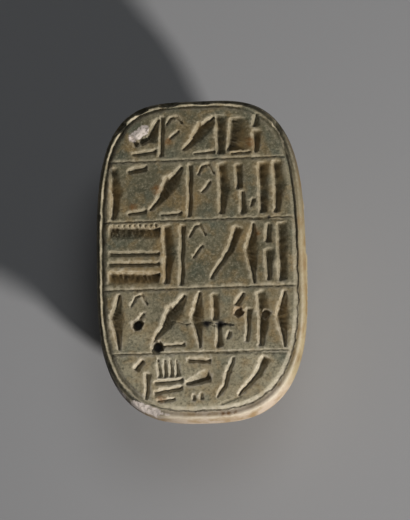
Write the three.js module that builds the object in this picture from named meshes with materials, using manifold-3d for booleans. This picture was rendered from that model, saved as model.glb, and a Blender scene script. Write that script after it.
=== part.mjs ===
// Scarab amulet, carved from one piece of steatite. It lies on its domed back with the inscribed base upward.
// Millimetres, +Z up. The origin is on the surface that the back rests on, under the middle of the outline,
// and +Y runs to the beetle's head. A "rise" is a distance from the base face towards the back, so z is
// HEIGHT - rise.
import * as THREE from "three";
import Module from "manifold-3d";

const wasm = await Module();
wasm.setup();

// Driving dimensions
const LENGTH = 50;
const WIDTH = 32;
const HEIGHT = 20;
const WIDEST_Y = -3.3; // where along the length the outline is widest
const LEAN = -0.02; // sideways drift of the outline's long axis, per millimetre of y
const HEAD_SQUARENESS = 3.6; // exponents of the two superellipses that make the outline
const TAIL_SQUARENESS = 2.85;
const RING_POINTS = 80;

// The plinth: rise of each level, and how far its outline is drawn in from the widest one
const PLINTH_RISE = 4.4;
const PLINTH_LEVELS = [
  { rise: PLINTH_RISE, inset: 0.9 },
  { rise: 3.8, inset: 0.22 },
  { rise: 2.6, inset: 0 },
  { rise: 1.1, inset: 0.1 },
  { rise: 0.3, inset: 0.3 },
  { rise: 0, inset: 0.56 },
];

// The cut border and the ruled lines of the base
const BORDER = { side: 1.12, head: 1.2, tail: 1.55, width: 0.8, depth: 0.5 };
const RULED_LINES = [15.3, 5.85, -4.75, -14.6];
const RULE = { width: 0.4, depth: 0.25 };

// The back's three domes. `wall` is the rise at which a dome's upright side turns into its curve, and `top`
// the rise of its crown.
const FORMS = {
  elytra: {
    halfWidth: 14.4,
    toHead: 14.4,
    toTail: 21.4,
    centreY: -2.6,
    wall: 8.8,
    top: 20.4,
    squareness: 2.5,
  },
  pronotum: {
    halfWidth: 13.7,
    toHead: 11.6,
    toTail: 7,
    centreY: 7.6,
    wall: 8.4,
    top: 19,
    squareness: 2.6,
  },
  head: {
    halfWidth: 6.8,
    toHead: 7.2,
    toTail: 5,
    centreY: 15.5,
    wall: 7.2,
    top: 13.4,
    squareness: 2.4,
  },
};
const DOME_POWER = 2.2; // how full the domes are, 2 being an ellipse
const FORM_ROOT_RISE = 3; // the forms start inside the plinth
const LINE = { width: 0.8, depth: 0.5 };
const PRONOTUM_LINE = { y: 7.2, bow: 0.012 }; // bow: how far it bends forward, per square millimetre
const SIDE_LINE_RISE = 9.6;
const CLYPEUS = {
  halfWidth: 6,
  tipHalfWidth: 4.4,
  y: 18.6,
  tip: 23.9,
  rise: 8.6,
  teeth: 4,
  notch: 0.9,
  bow: 0.9,
};
const EYE = { x: 6.9, y: 18, rise: 8.9, radius: 1.6 };
// Each leg runs from the body to the foot through these joints
const LEGS = {
  fore: [
    { y: 9.5, rise: 8.6, radius: 1.5 },
    { y: 16, rise: 7, radius: 1.35 },
    { y: 22.4, rise: 5.3, radius: 1.05 },
  ],
  middle: [
    { y: 6.4, rise: 8.9, radius: 1.3 },
    { y: -0.5, rise: 5.9, radius: 1.2 },
    { y: -8.5, rise: 5.1, radius: 0.9 },
  ],
  hind: [
    { y: 1.8, rise: 9.3, radius: 1.4 },
    { y: -9.5, rise: 7.6, radius: 1.35 },
    { y: -20.8, rise: 5.2, radius: 1 },
  ],
};
const LEG_INSET = 1.9;
const LEG_STEPS = 5; // between one joint and the next
const LEG_SIDES = 8;
const STRING_HOLE = { radius: 1.15, rise: 6.6, sides: 14 };

// The plan outline, drawn in all round by `inset`: its half-width, its reach each way and its centre
const outline = (inset = 0) => ({
  halfWidth: WIDTH / 2 - inset,
  toHead: LENGTH / 2 - WIDEST_Y - inset,
  toTail: LENGTH / 2 + WIDEST_Y - inset,
  centreY: WIDEST_Y,
});

// The outline's point at an angle, on the leaning long axis
function outlinePoint(size, angle) {
  const headward = Math.sin(angle) > 0;
  const squareness = size.squareness ?? (headward ? HEAD_SQUARENESS : TAIL_SQUARENESS);
  const bulge = (value) => Math.sign(value) * Math.abs(value) ** (2 / squareness);
  const y = size.centreY + bulge(Math.sin(angle)) * (headward ? size.toHead : size.toTail);
  return [bulge(Math.cos(angle)) * size.halfWidth + LEAN * y, y];
}

// The angle at which the right-hand side of the outline passes y
function outlineAngle(size, y) {
  const reach = (y - size.centreY) / (y > size.centreY ? size.toHead : size.toTail);
  const squareness = y > size.centreY ? HEAD_SQUARENESS : TAIL_SQUARENESS;
  return Math.sign(reach) * Math.asin(Math.min(1, Math.abs(reach)) ** (squareness / 2));
}

function ring(size, z, points = RING_POINTS) {
  return Array.from({ length: points }, (_, i) => [...outlinePoint(size, (2 * Math.PI * i) / points), z]);
}

// A closed solid through rings that run anticlockwise, seen from above, in rising order
function loft(rings, lowCentre = middle(rings[0]), highCentre = middle(rings.at(-1))) {
  const points = rings[0].length;
  const vertices = [...rings.flat(), lowCentre, highCentre];
  const low = vertices.length - 2;
  const last = (rings.length - 1) * points;
  const triangles = [];
  for (let i = 0; i < points; i++) {
    const next = (i + 1) % points;
    triangles.push([low, next, i], [low + 1, last + i, last + next]);
    for (let base = 0; base < last; base += points) {
      triangles.push([base + i, base + next, base + points + next]);
      triangles.push([base + i, base + points + next, base + points + i]);
    }
  }
  return solid(vertices, triangles);
}

function middle(points) {
  return [0, 1, 2].map((k) => points.reduce((sum, p) => sum + p[k], 0) / points.length);
}

function solid(vertices, triangles) {
  const mesh = new wasm.Mesh({
    numProp: 3,
    vertProperties: Float32Array.from(vertices.flat()),
    triVerts: Uint32Array.from(triangles.flat()),
  });
  return new wasm.Manifold(mesh);
}

function solidOf(geometry) {
  const position = (geometry.index ? geometry.toNonIndexed() : geometry).getAttribute("position");
  const places = new Map();
  const vertices = [];
  const corners = [];
  for (let i = 0; i < position.count; i++) {
    const vertex = [position.getX(i), position.getY(i), position.getZ(i)];
    const key = vertex.map((value) => Math.round(value * 1e4)).join();
    if (!places.has(key)) places.set(key, vertices.push(vertex) - 1);
    corners.push(places.get(key));
  }
  const triangles = [];
  for (let i = 0; i < corners.length; i += 3) {
    const [a, b, c] = corners.slice(i, i + 3);
    if (a !== b && b !== c && c !== a) triangles.push([a, b, c]);
  }
  return solid(vertices, triangles);
}

const union = (solids) => wasm.Manifold.union(solids);

// The plinth, with a flat face and softly rounded sides
function plinth() {
  return loft(PLINTH_LEVELS.map(({ rise, inset }) => ring(outline(inset), HEIGHT - rise)));
}

// One dome of the back, standing in the plinth, and drawn in all round by `inset`
function dome(form, inset = 0, points = 48, steps = 9) {
  const top = form.top - inset;
  const size = (share) => ({
    ...form,
    halfWidth: (form.halfWidth - inset) * share,
    toHead: (form.toHead - inset) * share,
    toTail: (form.toTail - inset) * share,
  });
  const rings = [];
  for (let i = 1; i <= steps; i++) {
    const climb = (Math.PI / 2) * (1 - i / steps);
    const rise = form.wall + (top - form.wall) * Math.sin(climb) ** (2 / DOME_POWER);
    rings.push(ring(size(Math.cos(climb) ** (2 / DOME_POWER)), HEIGHT - rise, points));
  }
  rings.push(ring(size(1), HEIGHT - FORM_ROOT_RISE, points));
  return loft(rings, [LEAN * form.centreY, form.centreY, HEIGHT - top]);
}

function domes(inset = 0) {
  return union([
    dome(FORMS.elytra, inset),
    dome(FORMS.pronotum, inset, 40, 8),
    dome(FORMS.head, inset, 28, 6),
  ]);
}

// The toothed plate in front of the head, thinning towards its front edge
function clypeus() {
  const { halfWidth, tipHalfWidth, y, tip, rise, teeth, notch, bow } = CLYPEUS;
  const shape = new THREE.Shape();
  shape.moveTo(-halfWidth, y);
  for (let i = 0; i <= 2 * teeth; i++) {
    const across = i / teeth - 1;
    shape.lineTo(tipHalfWidth * across, tip - bow * across ** 2 - (i % 2 ? 0 : notch));
  }
  shape.lineTo(halfWidth, y);
  const geometry = new THREE.ExtrudeGeometry(shape, { depth: rise - FORM_ROOT_RISE, bevelEnabled: false });
  return solidOf(geometry.translate(LEAN * tip, 0, HEIGHT - rise));
}

function eyes() {
  return [-1, 1].map((side) => {
    const eye = new THREE.SphereGeometry(EYE.radius, 10, 6).scale(0.8, 1.2, 1);
    return solidOf(eye.translate(side * EYE.x + LEAN * EYE.y, EYE.y, HEIGHT - EYE.rise));
  });
}

// A leg laid along the side, from the body down to the plinth
function leg(joints, side) {
  const path = outline(LEG_INSET);
  const rings = [];
  const last = LEG_STEPS * (joints.length - 1);
  for (let step = 0; step <= last; step++) {
    const before = joints[Math.min(Math.floor(step / LEG_STEPS), joints.length - 2)];
    const after = joints[joints.indexOf(before) + 1];
    const along = step / LEG_STEPS - joints.indexOf(before);
    const between = (key) => before[key] + (after[key] - before[key]) * along;
    const angle = outlineAngle(path, between("y"));
    const [x, y] = outlinePoint(path, angle);
    const [outX, outY] = outlinePoint(outline(LEG_INSET - 1), angle).map((value, k) => value - [x, y][k]);
    const reach = Math.hypot(outX, outY);
    const radius = between("radius") * (step % last === 0 ? 0.5 : 1);
    const section = [];
    for (let k = 0; k < LEG_SIDES; k++) {
      const turn = (2 * Math.PI * k) / LEG_SIDES;
      const out = (radius * Math.cos(turn)) / reach;
      section.push([x + outX * out, y + outY * out, HEIGHT - between("rise") + radius * Math.sin(turn)]);
    }
    rings.push(section);
  }
  const limb = loft(joints.at(-1).y > joints[0].y ? rings.reverse() : rings);
  return side < 0 ? mirrored(limb) : limb;
}

// The same solid on the other side of the leaning long axis
function mirrored(limb) {
  const mesh = limb.getMesh();
  const vertices = [];
  for (let i = 0; i < mesh.numVert; i++) {
    const [x, y, z] = mesh.vertProperties.slice(i * mesh.numProp, i * mesh.numProp + 3);
    vertices.push([2 * LEAN * y - x, y, z]);
  }
  const triangles = [];
  for (let i = 0; i < mesh.triVerts.length; i += 3) {
    triangles.push([mesh.triVerts[i], mesh.triVerts[i + 2], mesh.triVerts[i + 1]]);
  }
  return solid(vertices, triangles);
}

const legs = () => Object.values(LEGS).flatMap((joints) => [leg(joints, 1), leg(joints, -1)]);

// The lines cut into the back: upright slabs that reach LINE.depth below its surface
function backLines() {
  const suture = new THREE.BoxGeometry(LINE.width, LENGTH, HEIGHT)
    .translate(0, PRONOTUM_LINE.y - LENGTH / 2, 0)
    .applyMatrix4(new THREE.Matrix4().makeShear(0, 0, LEAN, 0, 0, 0));
  const sideLine = ring(outline(-1), HEIGHT - SIDE_LINE_RISE - LINE.width / 2, 32);
  const band = loft([sideLine, sideLine.map(([x, y, z]) => [x, y, z + LINE.width])]);
  const across = Array.from({ length: 13 }, (_, i) => (WIDTH / 2 - 1) * (i / 6 - 1));
  const edge = (x, offset) => new THREE.Vector2(x, PRONOTUM_LINE.y + offset + PRONOTUM_LINE.bow * x * x);
  const bowed = new THREE.Shape([
    ...across.map((x) => edge(x, -LINE.width / 2)),
    ...across.reverse().map((x) => edge(x, LINE.width / 2)),
  ]);
  const seam = new THREE.ExtrudeGeometry(bowed, { depth: HEIGHT - 1.7 * PLINTH_RISE, bevelEnabled: false });
  return union([solidOf(suture), band, solidOf(seam)]).subtract(domes(LINE.depth));
}

function stringHole() {
  const { radius, rise, sides } = STRING_HOLE;
  const hole = new THREE.CylinderGeometry(radius, radius, LENGTH + 4, sides);
  return solidOf(hole.translate(0, 0, HEIGHT - rise));
}

// Each mark of the inscription is a few cuts: x, in millimetres from the mark's left, and y, as a share of
// the row's height, at each end, then the width at each end. The marks are tool strokes and spell nothing.
const BLADE = [
  [5, 0.92, 3.6, 0.62, 0.6, 2.7],
  [3.7, 0.68, 2.1, 0.38, 2.9, 1.8],
  [2.2, 0.4, 0.2, 0.14, 1.6, 0.5],
];
const ARCH = [
  [0.2, 0.77, 0.8, 0.92, 0.4, 0.55],
  [0.7, 0.92, 1.9, 0.97, 0.5, 0.5],
  [1.8, 0.97, 2.7, 0.8, 0.55, 0.4],
  [2.2, 0.64, 0.7, 0.44, 0.6, 0.4],
];
const SPLIT = [
  [0.8, 0.94, 0.9, 0.5, 1.5, 1.2],
  [1.3, 0.44, 1.5, 0.04, 0.8, 1.4],
  [2.6, 0.16, 3, 0.3, 0.5, 0.9],
];
const WEDGE = [
  [4.4, 0.92, 3.2, 0.4, 0.8, 2.6],
  [2.9, 0.55, 1.4, 0.4, 2.6, 1.8],
  [0.3, 0.08, 4, 0.13, 0.6, 0.9],
];
const SICKLE = [
  [2.7, 0.95, 1.9, 0.62, 0.6, 1],
  [1.9, 0.66, 1.3, 0.3, 1, 0.9],
  [1.4, 0.34, 0.2, 0.1, 0.9, 0.4],
];
const DROP = [
  [0.2, 0.4, 3.8, 0.56, 0.9, 2.2],
  [1.4, 0.16, 1.5, 0.04, 0.6, 0.7],
  [2.5, 0.2, 2.7, 0.05, 0.6, 0.7],
];
const course = (y, width1, width2) => [0.1, y, 7.8, y - 0.02, width1, width2];
const COURSES = [course(0.87, 2.3, 1.9), course(0.53, 1, 0.8), course(0.37, 1, 0.8), course(0.14, 2.3, 1.9)];
const TINES = [0.7, 1.6, 2.5, 3.4].map((x) => [x, 0.92, x + 0.3, 0.55, 0.3, 1]);
const MARKS = {
  pillar: { wide: 1.2, cuts: [[0.65, 0.97, 0.55, 0.02, 1.05, 0.85]] },
  bar: { wide: 2, cuts: [[0.9, 0.95, 0.95, 0.04, 1.9, 1.5]] },
  stub: { wide: 1.9, cuts: [[0.9, 0.96, 0.85, 0.66, 0.9, 1.3], [1, 0.55, 0.85, 0.06, 1.8, 0.8]] },
  waisted: { wide: 2.3, cuts: [[0.8, 0.95, 1.3, 0.5, 1.5, 2.1], [1.3, 0.54, 0.8, 0.03, 2, 1]] },
  leaf: { wide: 2.6, cuts: [[1.5, 0.97, 1.2, 0.55, 0.5, 2.4], [1.2, 0.58, 1.6, 0.02, 2.4, 0.3]] },
  chisel: { wide: 3, cuts: [[0.4, 0.72, 1.5, 0.93, 1.3, 0.6], [2.3, 0.66, 2, 0.1, 1.2, 0.6]] },
  sweep: { wide: 5, cuts: [[4.6, 0.9, 3.2, 0.52, 1.7, 1.3], [3.3, 0.55, 0.3, 0.1, 1.3, 0.5]] },
  panel: { wide: 4, cuts: [[1.9, 0.88, 1.8, 0.12, 3, 3.8], [3.6, 0.06, 0.6, 0.04, 0.5, 0.6]] },
  dashes: { wide: 3.4, cuts: [[0.2, 0.88, 3.2, 0.93, 0.9, 1.2], [0.4, 0.1, 3.2, 0.14, 0.6, 0.9]] },
  comb: { wide: 4.6, cuts: [...TINES, [0.1, 0.42, 4.4, 0.46, 0.9, 0.9], [0.1, 0.2, 4.4, 0.3, 0.8, 0.9]] },
  blade: { wide: 5.4, cuts: BLADE },
  arch: { wide: 2.9, cuts: ARCH },
  split: { wide: 3.2, cuts: SPLIT },
  wedge: { wide: 4.6, cuts: WEDGE },
  sickle: { wide: 3, cuts: SICKLE },
  drop: { wide: 4.4, cuts: DROP },
  courses: { wide: 8, cuts: COURSES },
};
const ROWS = [
  "wedge pillar arch blade bar panel stub",
  "waisted dashes blade pillar arch waisted split bar waisted",
  "courses waisted pillar arch sweep leaf stub bar",
  "leaf arch blade leaf split chisel waisted leaf",
  "chisel comb drop sickle sweep",
];
const ROW_MARGIN = 0.45;
const CUT_DEPTH = { thin: 0.32, perWidth: 0.22, most: 0.85 };
const STEEP_SIDE = new THREE.Vector2(-0.8, 0.6); // a cut's wall on this side is steep, the other is a slope
const STEEP_WALL = { width: 0.3, mostOfHalf: 0.6 };
const OVERCUT = 0.3; // how far a cutting shape stands above the face
const FLUSH = 0.001; // keeps two cutting shapes from ending on the very same plane
const DRILLED = [
  { x: 5.9, y: -8.6, radius: 0.6, depth: 0.8 },
  { x: 9.9, y: -9, radius: 0.66, depth: 0.8 },
  { x: -9.3, y: -10.1, radius: 0.7, depth: 1 },
  { x: -6.3, y: -13.6, radius: 0.78, depth: 1.1 },
];

// A cut with a three-cornered section between two points of the base face
function gouge([x1, y1], [x2, y2], width1, width2, depth) {
  const along = new THREE.Vector2(x2 - x1, y2 - y1).normalize();
  const across = new THREE.Vector2(-along.y, along.x);
  if (across.dot(STEEP_SIDE) < 0) across.negate();
  const section = ([x, y], width) => {
    const half = width / 2;
    const place = (offset, z) => [x + across.x * offset, y + across.y * offset, HEIGHT + z];
    const wall = Math.min(STEEP_WALL.width, STEEP_WALL.mostOfHalf * half);
    const steepTop = half + (wall * OVERCUT) / depth;
    const gentleTop = -half - ((width - wall) * OVERCUT) / depth;
    return [place(steepTop, OVERCUT), place(half - wall, -depth), place(gentleTop, OVERCUT)];
  };
  const ends = [[0, 1, 2], [3, 5, 4]];
  const sides = [[0, 3, 4], [0, 4, 1], [1, 4, 5], [1, 5, 2], [2, 5, 3], [2, 3, 0]];
  const faces = [...ends, ...sides];
  const vertices = [...section([x1, y1], width1), ...section([x2, y2], width2)];
  const turned = along.x * across.y - along.y * across.x > 0;
  return solid(vertices, turned ? faces : faces.map(([p, q, r]) => [p, r, q]));
}

// The hand's unevenness, the same each time
const wobble = (seed) => Math.sin(seed * 12.9898) * 0.5 + Math.sin(seed * 4.1414) * 0.5;

function innerHalfWidth(y) {
  const inner = outline(BORDER.side + BORDER.width / 2 + ROW_MARGIN);
  const lowest = WIDEST_Y - inner.toTail + 1.5;
  const highest = WIDEST_Y + inner.toHead - 1;
  const angle = outlineAngle(inner, Math.max(lowest, Math.min(highest, y)));
  return outlinePoint(inner, angle)[0] - LEAN * y;
}

// The cuts of one row of marks, spread evenly between the two sides of the border
function rowCuts(row, index) {
  const high = index === 0 ? LENGTH / 2 - BORDER.head - BORDER.width : RULED_LINES[index - 1];
  const low = index === ROWS.length - 1 ? -LENGTH / 2 + BORDER.tail + BORDER.width : RULED_LINES[index];
  const marks = row.split(" ").map((name) => MARKS[name]);
  const near = index === 0 ? high - 2.6 : index === ROWS.length - 1 ? low + 3 : (high + low) / 2;
  const half = innerHalfWidth(near);
  const spare = 2 * half - marks.reduce((sum, mark) => sum + mark.wide, 0);
  const gap = spare / (marks.length - 1);
  const rowHeight = high - low - 2 * ROW_MARGIN;
  let left = LEAN * near - half;
  return marks.flatMap((mark, place) => {
    const seed = 10 * index + place;
    const start = left + 0.15 * wobble(seed);
    const lift = low + ROW_MARGIN + 0.15 * wobble(seed + 0.5);
    left += mark.wide + gap;
    return mark.cuts.map(([x1, y1, x2, y2, width1, width2]) => {
      const from = [start + x1, lift + y1 * rowHeight];
      const to = [start + x2, lift + y2 * rowHeight];
      const depth = CUT_DEPTH.thin + CUT_DEPTH.perWidth * Math.max(width1, width2);
      return gouge(from, to, width1, width2, Math.min(CUT_DEPTH.most, depth));
    });
  });
}

function ruledLines() {
  return RULED_LINES.map((y) => {
    const half = innerHalfWidth(y) + ROW_MARGIN;
    return gouge([LEAN * y - half, y], [LEAN * y + half, y], RULE.width, RULE.width, RULE.depth);
  });
}

// The border groove: a ring with a three-cornered section that runs round inside the edge
function border() {
  const { side, head, tail, width, depth } = BORDER;
  const spread = (width / 2) * (1 + OVERCUT / depth);
  const size = (inset) => ({
    halfWidth: WIDTH / 2 - side - inset,
    toHead: LENGTH / 2 - WIDEST_Y - head - inset,
    toTail: LENGTH / 2 + WIDEST_Y - tail - inset,
    centreY: WIDEST_Y,
  });
  const outer = loft([ring(size(0), HEIGHT - depth), ring(size(-spread), HEIGHT + OVERCUT)]);
  const low = HEIGHT - depth - FLUSH;
  const inner = loft([ring(size(FLUSH), low), ring(size(spread), HEIGHT + OVERCUT + FLUSH)]);
  return outer.subtract(inner);
}

function drilledPits() {
  return DRILLED.map(({ x, y, radius, depth }) => {
    const high = depth + OVERCUT;
    const pit = new THREE.CylinderGeometry(radius, radius * 0.7, high, 10).rotateX(Math.PI / 2);
    return solidOf(pit.translate(x, y, HEIGHT + OVERCUT - high / 2));
  });
}

function restingFlat() {
  return solidOf(new THREE.BoxGeometry(WIDTH, LENGTH, 2).translate(0, 0, -1));
}

function scarab() {
  const back = union([plinth(), domes()]).subtract(backLines());
  const body = union([back, clypeus(), ...eyes(), ...legs()]);
  const inscription = ROWS.flatMap(rowCuts);
  const lines = [border(), ...ruledLines(), ...inscription];
  const cuts = union([stringHole(), restingFlat(), ...lines, ...drilledPits()]);
  const { vertProperties, triVerts } = body.subtract(cuts).getMesh();
  const geometry = new THREE.BufferGeometry();
  geometry.setAttribute("position", new THREE.BufferAttribute(vertProperties, 3));
  geometry.setIndex(new THREE.BufferAttribute(triVerts, 1));
  geometry.computeVertexNormals();
  const steatite = new THREE.MeshStandardMaterial({ color: 0x8a8468, roughness: 0.7, metalness: 0 });
  const mesh = new THREE.Mesh(geometry, steatite);
  mesh.name = "scarab";
  return mesh;
}

const amulet = new THREE.Group();
amulet.add(scarab());
export default amulet;
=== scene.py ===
"""A scarab amulet of carved steatite, lying on its domed back with the inscribed base upward."""

import math

import bpy
import numpy as np
from mathutils import Matrix, Vector
from mathutils.geometry import delaunay_2d_cdt


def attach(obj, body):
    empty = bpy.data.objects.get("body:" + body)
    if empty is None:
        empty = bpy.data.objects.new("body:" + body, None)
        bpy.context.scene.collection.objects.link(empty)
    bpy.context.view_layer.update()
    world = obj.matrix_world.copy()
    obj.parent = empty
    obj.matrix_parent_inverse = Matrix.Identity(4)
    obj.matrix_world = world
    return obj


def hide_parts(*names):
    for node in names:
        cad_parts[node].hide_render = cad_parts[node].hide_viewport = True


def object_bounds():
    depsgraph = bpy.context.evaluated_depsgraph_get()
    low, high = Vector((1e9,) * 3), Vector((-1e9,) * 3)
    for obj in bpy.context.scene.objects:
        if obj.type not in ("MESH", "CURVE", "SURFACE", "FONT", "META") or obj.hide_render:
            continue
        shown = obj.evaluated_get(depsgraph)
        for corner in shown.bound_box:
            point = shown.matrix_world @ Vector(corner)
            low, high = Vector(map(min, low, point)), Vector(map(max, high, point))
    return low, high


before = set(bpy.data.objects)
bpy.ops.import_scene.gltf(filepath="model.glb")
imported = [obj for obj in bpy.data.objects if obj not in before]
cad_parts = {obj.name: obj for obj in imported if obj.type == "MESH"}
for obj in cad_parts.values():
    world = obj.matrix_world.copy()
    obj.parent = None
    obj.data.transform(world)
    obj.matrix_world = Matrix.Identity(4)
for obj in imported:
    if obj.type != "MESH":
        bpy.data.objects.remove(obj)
cad_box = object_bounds()

# --------------------------------------
# The stone. One block of steatite, rounded to an oval that is a little squarer at the head end.
# All sizes are millimetres in the frame's axes, and a rise is a distance from the base face
# towards the beetle's back. The base plate is left standing proud round the body.

MM = 0.001
LENGTH = (cad_box[1].y - cad_box[0].y) / MM
HEIGHT = (cad_box[1].z - cad_box[0].z) / MM
WIDTH = 0.64 * LENGTH
WIDEST_Y = -3.3
LEAN = -0.02
HEAD_SQUARENESS = 3.6
TAIL_SQUARENESS = 2.85
PLATE_RISES = [0, 0.1, 0.25, 0.5, 0.9, 1.5, 2.6, 3.3, 3.8, 4.15, 4.4]
PLATE_INSETS = [0.84, 0.64, 0.47, 0.32, 0.19, 0.09, 0.02, 0.08, 0.24, 0.5, 0.9]
PLATE_RISE = PLATE_RISES[-1]


def oval_reach(y, side=0.0, head=0.0, tail=0.0):
    """The three reaches of the oval drawn in by those amounts, picked for each y."""
    headward = y > WIDEST_Y
    along = np.where(headward, LENGTH / 2 - WIDEST_Y - head, LENGTH / 2 + WIDEST_Y - tail)
    return WIDTH / 2 - side, along, np.where(headward, HEAD_SQUARENESS, TAIL_SQUARENESS)


def held(values):
    """The values, held between 0 and 1."""
    return np.clip(values, 0, 1)


def inside_oval(x, y, side=0.0, head=0.0, tail=0.0):
    """How far inside the drawn-in oval each point lies, negative outside."""
    across, along, power = oval_reach(y, side, head, tail)
    u = np.abs(x - LEAN * y) / across
    v = np.abs(y - WIDEST_Y) / along
    gauge = np.maximum((u**power + v**power) ** (1 / power), 1e-6)
    slope = np.hypot(u ** (power - 1) / across, v ** (power - 1) / along) * gauge ** (1 - power)
    return (1 - gauge) / slope


def oval_side(y, inset):
    """The right-hand x of the drawn-in oval at y, measured from the leaning long axis."""
    across, along, power = oval_reach(np.asarray(y, float), inset, inset, inset)
    share = held(np.abs(y - WIDEST_Y) / along)
    return across * (1 - share**power) ** (1 / power)


def inside_border(x, y):
    return inside_oval(x, y, BORDER["side"], BORDER["head"], BORDER["tail"])


def oval_ring(count, side=0.0, head=0.0, tail=0.0):
    """Evenly spaced points of the drawn-in oval, anticlockwise from above."""
    angle = np.linspace(0, 2 * math.pi, 40001)
    ends = np.sin(angle)
    across, along, power = oval_reach(WIDEST_Y + ends, side, head, tail)
    y = WIDEST_Y + np.sign(ends) * np.abs(ends) ** (2 / power) * along
    x = np.sign(np.cos(angle)) * np.abs(np.cos(angle)) ** (2 / power) * across + LEAN * y
    walked = np.concatenate([[0], np.cumsum(np.hypot(np.diff(x), np.diff(y)))])
    stops = np.linspace(0, walked[-1], count + 1)[:-1]
    return np.stack([np.interp(stops, walked, x), np.interp(stops, walked, y)], 1)


def unevenness(x, y, size, seed, z=0):
    """Smooth hand-made waver between about -1 and 1, with bumps about that size."""
    total = 0
    for turn in range(4):
        a, b, c = np.sin(1.7 * seed + turn * np.array([2.1, 3.7, 5.9]))
        k = 2 * math.pi / size * (0.75 + 0.22 * turn) / (math.hypot(a, b, c) + 1e-6)
        total = total + np.sin(k * (a * x + b * y + c * z) + 1.3 * seed + 2.4 * turn)
    return total / 2.6


def close_to_segment(x, y, a, b):
    """Each point's distance from the line between two points of the plane."""
    along = np.array(b) - np.array(a)
    t = held(((x - a[0]) * along[0] + (y - a[1]) * along[1]) / (along @ along))
    return np.hypot(x - a[0] - t * along[0], y - a[1] - t * along[1])


# --------------------------------------
# The inscribed base. A graver cut a border groove just inside the edge, ruled four lines across
# it, and filled the five rows with sunk strokes, each with one steep wall. They spell nothing.

BORDER = {"side": 1.12, "head": 1.2, "tail": 1.5, "foot": 0.06, "wall": 0.2, "slope": 0.36, "depth": 0.42}
# Towards the right the groove is shallow and its slope wide, and at the lower right the rim is worn down
WORN_CORNER = {"wider": 0.3, "shallower": 0.4, "drop": 0.27}
RULED_LINES = [15.3, 5.85, -4.75, -14.6]
RULE = {"width": 0.42, "depth": 0.25}
# A second scratch beside two of the lines: row line, offset, and the stretch of x it covers
SLIPPED_LINES = [(1, -0.46, 5.6, 12.8), (3, -0.5, -1.8, 13.6)]
SLIPPED = {"half": 0.17, "depth": 0.16}
# Half the room that the rows leave for the groove, beyond the border's own line
GROOVE_HALF = 0.475


def course(y, width_left, width_right):
    """One long level cut of a stack, at that share of the row's height."""
    return (0.1, y, 7.8, y - 0.02, width_left, width_right)


# Each mark's width, then its cuts: x in millimetres from the mark's left and y as a share of the
# row's height, at each end, then the width at each end.
MARKS = {
    "pillar": (1.2, (0.65, 0.97, 0.55, 0.02, 1.05, 0.85)),
    "bar": (2, (0.9, 0.95, 0.95, 0.04, 1.9, 1.5)),
    "stub": (1.9, (0.9, 0.96, 0.85, 0.66, 0.9, 1.3), (1, 0.55, 0.85, 0.06, 1.8, 0.8)),
    "waisted": (2.3, (0.8, 0.95, 1.3, 0.5, 1.5, 2.1), (1.3, 0.54, 0.8, 0.03, 2, 1)),
    "leaf": (2.6, (1.5, 0.97, 1.2, 0.55, 0.5, 2.4), (1.2, 0.58, 1.6, 0.02, 2.4, 0.3)),
    "chisel": (3, (0.4, 0.72, 1.5, 0.93, 1.3, 0.6), (2.3, 0.66, 2, 0.1, 1.2, 0.6)),
    "sweep": (5, (4.6, 0.9, 3.2, 0.52, 1.7, 1.3), (3.3, 0.55, 0.3, 0.1, 1.3, 0.5)),
    "panel": (4, (1.9, 0.88, 1.8, 0.12, 3, 3.8), (3.6, 0.06, 0.6, 0.04, 0.5, 0.6)),
    "dashes": (3.4, (0.2, 0.88, 3.2, 0.93, 0.9, 1.2), (0.4, 0.1, 3.2, 0.14, 0.6, 0.9)),
    "comb": (
        4.6,
        *((x, 0.92, x + 0.3, 0.55, 0.3, 1) for x in (0.7, 1.6, 2.5, 3.4)),
        (0.1, 0.42, 4.4, 0.46, 0.9, 0.9),
        (0.1, 0.2, 4.4, 0.3, 0.8, 0.9),
        (0.5, 0.02, 3.2, 0.06, 0.5, 0.7),
    ),
    "blade": (
        5.4,
        (5, 0.92, 3.6, 0.62, 0.6, 2.7),
        (3.7, 0.68, 2.1, 0.38, 2.9, 1.8),
        (2.2, 0.4, 0.2, 0.14, 1.6, 0.5),
        (1.8, 0.05, 5, 0.07, 0.4, 0.7),
    ),
    "arch": (
        2.9,
        (0.2, 0.77, 0.8, 0.92, 0.4, 0.55),
        (0.7, 0.92, 1.9, 0.97, 0.5, 0.5),
        (1.8, 0.97, 2.7, 0.8, 0.55, 0.4),
        (2.2, 0.64, 0.7, 0.44, 0.6, 0.4),
    ),
    "split": (
        3.2,
        (0.8, 0.94, 0.9, 0.5, 1.5, 1.2),
        (1.3, 0.44, 1.5, 0.04, 0.8, 1.4),
        (2.6, 0.16, 3, 0.3, 0.5, 0.9),
    ),
    "wedge": (
        4.6,
        (4.4, 0.92, 3.2, 0.4, 0.8, 2.6),
        (2.9, 0.55, 1.4, 0.4, 2.6, 1.8),
        (0.3, 0.08, 4, 0.13, 0.6, 0.9),
        (0.2, 0.5, 1.2, 0.32, 0.6, 1.1),
    ),
    "sickle": (
        3,
        (2.7, 0.95, 1.9, 0.62, 0.6, 1),
        (1.9, 0.66, 1.3, 0.3, 1, 0.9),
        (1.4, 0.34, 0.2, 0.1, 0.9, 0.4),
    ),
    "drop": (
        4.4,
        (0.2, 0.4, 3.8, 0.56, 0.9, 2.2),
        (1.4, 0.16, 1.5, 0.04, 0.6, 0.7),
        (2.5, 0.2, 2.7, 0.05, 0.6, 0.7),
        (0.4, 0.9, 3.9, 0.87, 0.9, 0.8),
    ),
    "courses": (
        8,
        *(course(*cut) for cut in ((0.87, 2.3, 1.9), (0.53, 1, 0.8), (0.37, 1, 0.8), (0.14, 2.3, 1.9))),
        *((0.7 + 0.82 * k, 1, 0.8 + 0.82 * k, 0.82, 0.4, 0.7) for k in range(9)),
    ),
}
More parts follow.
